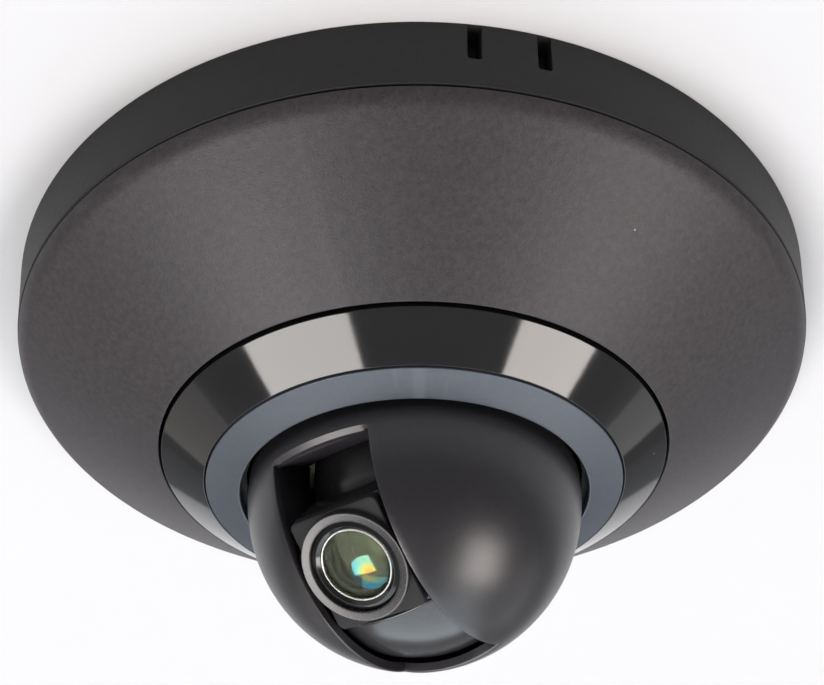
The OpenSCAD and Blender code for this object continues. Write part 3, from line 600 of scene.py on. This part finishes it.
def shoulder():
    """Arc by which the cover turns over towards the rim, and the slope of the cone after it."""
    start = math.radians(SHOULDER_FROM)
    edge = Vector((COVER_OUT_R, -RIM_H - SHADOW_GAP))
    centre = edge - SHOULDER_R * Vector((math.cos(start), -math.sin(start)))
    to_seam = Vector((SEAM_R, SEAM_Z)) - centre
    end = math.atan2(-to_seam.y, to_seam.x) - math.acos(SHOULDER_R / to_seam.length)
    arc = [centre + SHOULDER_R * Vector((math.cos(a), -math.sin(a))) for a in span(start, end, 10)]
    return arc, math.tan(math.pi / 2 - end)


def make_cover():
    arc, slope = shoulder()

    def cone_z(r):
        return SEAM_Z + (r - SEAM_R) * slope

    bm = bmesh.new()
    edge_z = arc[0].y
    past_arc = arc[-1].x - 0.3
    lathe(bm, rounded([(arc[0].x, edge_z, 0.1)] + [(p.x, p.y, 0) for p in arc[1:]]
                      + [(past_arc, cone_z(past_arc), 0), (COVER_IN_R, cone_z(COVER_IN_R), 0.15),
                         (COVER_IN_R, cone_z(COVER_IN_R) + COVER_T, 0),
                         (SKIRT_IN_R, cone_z(SKIRT_IN_R) + COVER_T, 0.3),
                         (SKIRT_IN_R, SKIRT_TOP, 0.1), (SKIRT_OUT_R, SKIRT_TOP, 0.2),
                         (SKIRT_OUT_R, edge_z, 0)]))
    radius, angles = COVER_POSTS
    for angle in angles:
        low = cone_z(radius + POST_R) + 0.5
        post(bm, low, -CASE_WALL - 0.05, polar(radius, angle))
    piece("cover_shell", bm, "cover_grey", "root", ["top_cover"])


def make_trim_ring():
    bm = bmesh.new()
    lip_z = trim_low.z
    flange_r, top = trim_high.x, trim_high.z
    back_r = SEAM_R - GLOSS_WALL
    lathe(bm, rounded([(SEAM_R, SEAM_Z, 0.12), (GLOSS_IN_R, lip_z, 0.1), (GLOSS_IN_R, lip_z + GLOSS_LIP, 0),
                       (back_r, SEAM_Z + GLOSS_BACK_RISE, 0), (back_r, top, 0.1), (flange_r, top, 0.1),
                       (flange_r, top - FLANGE_T, 0.1), (SEAM_R, top - FLANGE_T, 0)]), GLOSS_TURN)
    piece("gloss_ring", bm, "gloss_black", "root", ["trim_ring"])


def make_inner_ring():
    bm = bmesh.new()
    eye_z, top = inner_low.z, inner_high.z
    back_r = EYE_OUT_R - EYE_WALL
    lathe(bm, rounded([(EYE_OUT_R, EYE_OUT_Z, 0.12), (EYE_R, eye_z, 0.22), (EYE_R, eye_z + EYE_LIP, 0),
                       (back_r, EYE_OUT_Z + EYE_BACK_RISE, 0), (back_r, top, 0.1),
                       (inner_high.x, top, 0.1), (inner_high.x, top - FLANGE_T, 0.1),
                       (EYE_OUT_R, top - FLANGE_T, 0)]))
    piece("eye_ring", bm, "satin_grey", "root", ["inner_ring"])


# ---------- ball ----------

def make_ball():
    """Sphere shell on lines of constant x and constant angle, so that the slot follows them."""
    inner_r = BALL_R - BALL_WALL
    slot_xs = span(-SLOT_HALF, SLOT_HALF, 20)
    start = math.degrees(math.asin(SLOT_HALF / BALL_R))
    side_xs = [BALL_R * math.sin(math.radians(a)) for a in span(start, 90, 26)][1:]
    xs = [-x for x in reversed(side_xs)] + slot_xs + side_xs
    past_chamfer = SLOT_FRONT + math.degrees(SLOT_CHAMFER / BALL_R)
    angles = span(-SLOT_REAR, SLOT_FRONT, 40) + span(past_chamfer, 360 - SLOT_REAR, 96)[:-1]

    def inner_x(x):
        if abs(x) <= SLOT_HALF:
            return x
        share = (abs(x) - SLOT_HALF) / (BALL_R - SLOT_HALF)
        return math.copysign(SLOT_HALF + share * (inner_r - SLOT_HALF), x)

    def in_slot(i, j):
        across = -SLOT_HALF - TINY <= xs[i] and xs[i + 1] <= SLOT_HALF + TINY
        return across and angles[j] < SLOT_FRONT - TINY

    def outer_radius(x, a):
        chamfered = a == SLOT_FRONT and abs(x) < SLOT_HALF - TINY
        return BALL_R - SLOT_CHAMFER if chamfered else BALL_R

    bm = bmesh.new()
    outer = [[bm.verts.new(on_sphere(outer_radius(x, a), x, a)) for a in angles] for x in xs]
    inner = [[bm.verts.new(on_sphere(inner_r, inner_x(x), a)) for a in angles] for x in xs]
    count = len(angles)
    for i in range(len(xs) - 1):
        for j in range(count):
            k = (j + 1) % count
            if in_slot(i, j):
                continue
            bm.faces.new((outer[i][j], outer[i][k], outer[i + 1][k], outer[i + 1][j]))
            bm.faces.new((inner[i][j], inner[i][k], inner[i + 1][k], inner[i + 1][j]))
    first, last = xs.index(-SLOT_HALF), len(xs) - 1 - xs[::-1].index(SLOT_HALF)
    front = angles.index(SLOT_FRONT)
    for i in (first, last):
        for j in range(front):
            bm.faces.new((outer[i][j], outer[i][j + 1], inner[i][j + 1], inner[i][j]))
    for j in (0, front):
        for i in range(first, last):
            bm.faces.new((outer[i][j], outer[i + 1][j], inner[i + 1][j], inner[i][j]))
    bmesh.ops.delete(bm, geom=[v for v in bm.verts if not v.link_faces], context="VERTS")
    bmesh.ops.remove_doubles(bm, verts=bm.verts, dist=WELD)
    bmesh.ops.recalc_face_normals(bm, faces=bm.faces)
    outside = BALL_R - 0.01
    slot_edges = [e for e in sharp_edges(bm) if min(v.co.length for v in e.verts) > outside]
    soften(bm, slot_edges, 0.32)
    rim = BALL_Z - BALL_RIM_Z
    found = bmesh.ops.bisect_plane(bm, geom=bm.verts[:] + bm.edges[:] + bm.faces[:],
                                   plane_co=(0, 0, rim), plane_no=(0, 0, -1), clear_outer=True)
    rim_edges = [g for g in found["geom_cut"] if isinstance(g, bmesh.types.BMEdge)]
    bmesh.ops.bridge_loops(bm, edges=rim_edges)
    raised = Matrix.Rotation(math.radians(-RAISED_TILT), 4, "X")
    for side in (-1, 1):
        walls = sorted((side * SLOT_HALF, side * (SLOT_HALF + POCKET_WALL)))
        block(bm, walls, span(POCKET_FROM, POCKET_TO, 12), POCKET_IN_R, inner_r + 0.1, 0.08)
    end_wall = bmesh.new()
    half = SLOT_HALF + POCKET_WALL
    rows = []
    for y in (POCKET_END, POCKET_END + POCKET_WALL):
        for reach in (POCKET_IN_R, inner_r + 0.3):
            rows.append([(x, y, math.sqrt(reach * reach - x * x - y * y))
                         for x in span(-half, half, 12)])
    rows[2], rows[3] = rows[3], rows[2]
    verts = grid(end_wall, rows, close_rows=True)
    for side in (0, -1):
        end_wall.faces.new([row[side] for row in verts])
    end_wall.transform(raised)
    bmesh.ops.recalc_face_normals(end_wall, faces=end_wall.faces)
    append(bm, end_wall)
    for x in (-BALL_BOSS_X, BALL_BOSS_X):
        for y in (-BALL_BOSS_Y, BALL_BOSS_Y):
            post(bm, BALL_BOSS_FROM, BALL_BOSS_TO, (x, y), BALL_BOSS_R, 32)
    piece("ball_cover", bm, "ball_black", "pan_head", ["ball_shell"], BALL_PLACE)


# ---------- lens unit ----------

def make_drum():
    bm = bmesh.new()
    block(bm, span(-DRUM_SKIRT_HALF, DRUM_SKIRT_HALF, 16), span(DRUM_SKIRT_FROM, DRUM_SKIRT_TO, 36),
          DRUM_SKIRT_R - DRUM_SKIRT_WALL, DRUM_SKIRT_R, 0.25)
    block(bm, span(-DRUM_HALF, DRUM_HALF, 14), span(DRUM_SHIELD_FROM, DRUM_SHIELD_TO, 36),
          DRUM_SHIELD_R - DRUM_SHIELD_WALL, DRUM_SHIELD_R)

    def rectangle(half_x, half_y):
        return [(-half_x, -half_y), (half_x, -half_y), (half_x, half_y), (-half_x, half_y)]

    house = bmesh.new()
    outer = rectangle(PLATE_W / 2, PLATE_L / 2)
    inner = rectangle(HOUSE_IN_HALF, PLATE_L / 2 - HOUSE_WALL)
    rows = [[(x, y, z) for x, y in ring] for ring, z in
            ((outer, 0), (outer, PLATE_BACK), (inner, PLATE_BACK), (inner, 0))]
    grid(house, rows, close_rows=True, close_columns=True)
    bmesh.ops.recalc_face_normals(house, faces=house.faces)
    soften(house, sharp_edges(house), 0.2)
    append(bm, house)
    core = bmesh.new()
    lathe(core, rounded([(CORE_BORE_R, -DRUM_HALF, 0), (CORE_R, -DRUM_HALF, 0.3),
                         (CORE_R, DRUM_HALF, 0.3), (CORE_BORE_R, DRUM_HALF, 0)]), 96)
    core.transform(Matrix.Rotation(math.radians(90), 4, "Y"))
    append(bm, core)
    piece("tilting_drum", bm, "drum_black", "lens_head", ["tilt_drum"], LENS_PLACE)


def square_reach(angle, half_w, half_l, corner):
    """Distance from the centre to a rounded rectangle's outline at an angle in radians."""
    c, s = abs(math.cos(angle)), abs(math.sin(angle))
    if c * (half_l - corner) >= s * half_w:
        return half_w / c
    if s * (half_w - corner) >= c * half_l:
        return half_l / s
    x, y = half_w - corner, half_l - corner
    along = c * x + s * y
    return along + math.sqrt(corner * corner - (x * x + y * y - along * along))


def make_plate():
    """Square plate with a round boss, built as rings of points round the lens axis."""
    steps = 192
    turn = [2 * math.pi * k / steps for k in range(steps)]

    def circle(radius, z):
        return [(radius * math.cos(a), radius * math.sin(a), z) for a in turn]

    def square(inset, z):
        sizes = (PLATE_W / 2 - inset, PLATE_L / 2 - inset, PLATE_CORNER - inset)
        reach = [square_reach(a, *sizes) for a in turn]
        return [(d * math.cos(a), d * math.sin(a), z) for d, a in zip(reach, turn)]

    quarter = [math.radians(a) for a in (0, 22, 45, 68, 90)]

    hole_r = BARREL_R + 0.1
    funnel_r = BOSS_R - BOSS_LIP
    funnel_z = BOSS_TOP - FUNNEL_H
    rows = [circle(hole_r, PLATE_BACK), circle(hole_r, funnel_z - 0.04), circle(hole_r + 0.04, funnel_z)]
    rows += [circle(r, funnel_z + FUNNEL_H * (r - hole_r) / (funnel_r - hole_r))
             for r in span(hole_r + 0.1, funnel_r - 0.05, 4)]
    ease = 0.14
    rows += [circle(BOSS_R - ease + ease * math.sin(a), BOSS_TOP - ease + ease * math.cos(a))
             for a in quarter]
    rows += [circle(BOSS_R, PLATE_FACE + 0.16), circle(BOSS_R, PLATE_FACE + 0.02)]
    ease = 0.22
    rows += [square(ease - ease * math.sin(a), PLATE_FACE - ease + ease * math.cos(a)) for a in quarter]
    rows += [square(0, PLATE_FACE - 0.3), square(0, PLATE_BACK + 0.1), square(0.1, PLATE_BACK)]
    bm = bmesh.new()
    grid(bm, rows, close_rows=True, close_columns=True)
    piece("lens_bezel", bm, "plate_grey", "lens_head", ["lens_plate"], LENS_PLACE)


def make_barrel():
    """Tube with a seat for the front glass and three light-trap steps narrowing to the bore."""
    bm = bmesh.new()
    mouth = SEAT_R + 0.4
    lathe(bm, rounded([
        (BORE_R, BARREL_BACK, 0.1), (BARREL_BODY_R, BARREL_BACK, 0.2), (BARREL_BODY_R, BARREL_STEP, 0),
        (BARREL_R, BARREL_STEP, 0), (BARREL_R, BARREL_FRONT - FRONT_SLOPE, 0.06),
        (mouth, BARREL_FRONT, 0.03), (SEAT_R, RING_P + RING_T, 0.08), (SEAT_R, SEAT_P, 0),
        (4.1, SEAT_P, 0.08), (3.9, SEAT_P - 0.5, 0.05), (3.7, SEAT_P - 0.5, 0.05),
        (3.5, SEAT_P - 1.0, 0.05), (3.35, SEAT_P - 1.0, 0.05), (BORE_R, SEAT_P - 1.5, 0)]), 160)
    piece("lens_tube", bm, "barrel_black", "lens_head", ["lens_barrel"], LENS_PLACE)


def make_retaining_ring():
    bm = bmesh.new()
    inner_r, outer_r, front = GLASS_R + 0.03, SEAT_R - 0.02, RING_P + RING_T
    lathe(bm, rounded([(inner_r, RING_P, 0.03), (outer_r, RING_P, 0.03), (outer_r, front, 0.12),
                       (inner_r, front, 0.12)]), 160)
    piece("glass_ring", bm, "bright_ring", "lens_head", ["retaining_ring"], LENS_PLACE)


def dome(radius, sag, front, back, edge_r, edge_front):
    """Outline of a domed lens with a cylindrical edge, from the axis out and back."""
    curve = (radius * radius + sag * sag) / (2 * sag)
    widest = math.asin(radius / curve)
    outline = [(curve * math.sin(a), front - curve + curve * math.cos(a))
               for a in span(0, widest, 24)]
    outline[0] = (0, front)
    return outline + [(edge_r, edge_front), (edge_r, back), (0, back)]


def make_glass():
    bm = bmesh.new()
    lathe(bm, dome(GLASS_R, GLASS_SAG, GLASS_FRONT, SEAT_P, SEAT_R - 0.05, RING_P), 128)
    piece("front_glass", bm, "lens_glass", "lens_head", ["front_lens"], LENS_PLACE)
    bm = bmesh.new()
    element_r = BORE_R - 0.05
    lathe(bm, dome(element_r, ELEMENT_SAG, ELEMENT_FRONT, ELEMENT_BACK, element_r, ELEMENT_EDGE), 96)
    piece("inner_element", bm, "lens_glass", "lens_head", ["second_lens"], LENS_PLACE, INNER_ELEMENT)


make_case()
make_cover()
make_trim_ring()
make_inner_ring()
make_ball()
make_drum()
make_plate()
make_barrel()
make_retaining_ring()
make_glass()


# ---------- stage, light and camera ----------

def stage_plane(name, half, z, up, colour, see_through_back=False):
    mesh = bpy.data.meshes.new(name)
    ring = [(-half, -half, z), (half, -half, z), (half, half, z), (-half, half, z)]
    mesh.from_pydata(ring if up else ring[::-1], [], [(0, 1, 2, 3)])
    m = Nodes(name)
    m.link(m.mix(m.noise(40, 4), shade(colour, 0.985), colour), m.shader.inputs["Base Color"])
    m.set(Roughness=0.9, Specular_IOR_Level=0.1)
    if see_through_back:
        clear = m.tree.nodes.new("ShaderNodeBsdfTransparent")
        blend = m.tree.nodes.new("ShaderNodeMixShader")
        geometry = m.tree.nodes.new("ShaderNodeNewGeometry")
        m.link(geometry.outputs["Backfacing"], blend.inputs[0])
        m.link(m.shader.outputs[0], blend.inputs[1])
        m.link(clear.outputs[0], blend.inputs[2])
        m.link(blend.outputs[0], m.tree.nodes["Material Output"].inputs["Surface"])
    mesh.materials.append(m.material)
    obj = bpy.data.objects.new(name, mesh)
    scene.collection.objects.link(obj)


# The ceiling that the camera hangs from is solid from below and clear from above, so that the
# mounting face can be looked at too.
stage_plane("ceiling", 2.0, -0.00005, False, (0.525, 0.525, 0.535), True)
stage_plane("floor", 6.0, -1.35, True, (0.8, 0.79, 0.77))


def soft_light(name, centre, size, facing, turn, radiance, colour):
    """Rectangular light whose front faces a direction, turned about that direction."""
    data = bpy.data.lights.new(name, "AREA")
    data.shape = "RECTANGLE"
    data.size, data.size_y = size
    data.energy = radiance * math.pi * size[0] * size[1]
    data.color = colour
    obj = bpy.data.objects.new(name, data)
    aim = Vector(facing).to_track_quat("-Z", "Y").to_matrix()
    spin = Matrix.Rotation(math.radians(turn), 3, "Z")
    obj.matrix_world = Matrix.Translation(centre) @ (spin @ aim).to_4x4()
    obj.visible_camera = False
    scene.collection.objects.link(obj)


UP, DOWN = (0, 0, 1), (0, 0, -1)
soft_light("left_window", (-0.43, -0.45, -1.0), (0.66, 0.55), UP, 0, 10.6, (1.0, 0.95, 0.92))
soft_light("right_window", (0.82, 0.33, -1.0), (0.7, 0.57), UP, -20.7, 11.2, (1.0, 0.93, 0.89))
soft_light("rear_bounce", (-0.484, 0.846, -1.02), (1.15, 1.75), UP, 33.5, 2.3, (0.86, 0.96, 1.05))
soft_light("left_wall", (-2.0, 0.25, -1.1), (1.6, 1.0), (1, 0, 0), 0, 0.65, (1.0, 0.94, 0.88))
soft_light("right_wall", (0.75, 2.1, -1.2), (1.6, 1.0), (0, -1, 0), 0, 0.9, (1.0, 0.97, 0.97))
soft_light("top_fill", (0.3, -0.6, 1.6), (1.6, 1.6), DOWN, 0, 2.0, (1.0, 0.98, 0.96))

world = bpy.data.worlds.new("room")
scene.world = world
world.use_nodes = True
world.node_tree.nodes["Background"].inputs["Color"].default_value = (0.95, 0.97, 1.0, 1)
world.node_tree.nodes["Background"].inputs["Strength"].default_value = 0.3
scene.view_settings.view_transform = "Standard"

# Camera below the ceiling, to the right of the lens, looking up at the middle of the case.
CAMERA_AZIMUTH, CAMERA_ELEVATION, CAMERA_DISTANCE = 33.5, -39.39, 0.1608
CAMERA_YAW, CAMERA_PITCH, CAMERA_ROLL = 0.27, 0.52, -0.74
SENSOR_WIDTH, FOCAL_LENGTH = 36, 48.1
SHIFT_X, SHIFT_Y, CLIP_START = -0.0071, -0.0092, 0.005


def make_camera():
    azimuth, elevation = math.radians(CAMERA_AZIMUTH), math.radians(CAMERA_ELEVATION)
    level = math.cos(elevation)
    back = Vector((math.sin(azimuth) * level, -math.cos(azimuth) * level, math.sin(elevation)))
    right = Vector((math.cos(azimuth), math.sin(azimuth), 0))
    up = back.cross(right)
    yaw, pitch = math.tan(math.radians(CAMERA_YAW)), math.tan(math.radians(CAMERA_PITCH))
    forward = (-back + right * yaw + up * pitch).normalized()
    right = forward.cross(up).normalized()
    up = right.cross(forward)
    roll = math.radians(CAMERA_ROLL)
    right, up = (right * math.cos(roll) + up * math.sin(roll),
                 up * math.cos(roll) - right * math.sin(roll))
    data = bpy.data.cameras.new("camera")
    data.sensor_width = SENSOR_WIDTH
    data.lens = FOCAL_LENGTH
    data.shift_x, data.shift_y = SHIFT_X, SHIFT_Y
    data.clip_start = CLIP_START
    camera = bpy.data.objects.new("camera", data)
    camera.matrix_world = Matrix.Translation(back * CAMERA_DISTANCE) @ Matrix(
        (right, up, -forward)).transposed().to_4x4()
    scene.collection.objects.link(camera)
    scene.camera = camera


make_camera()
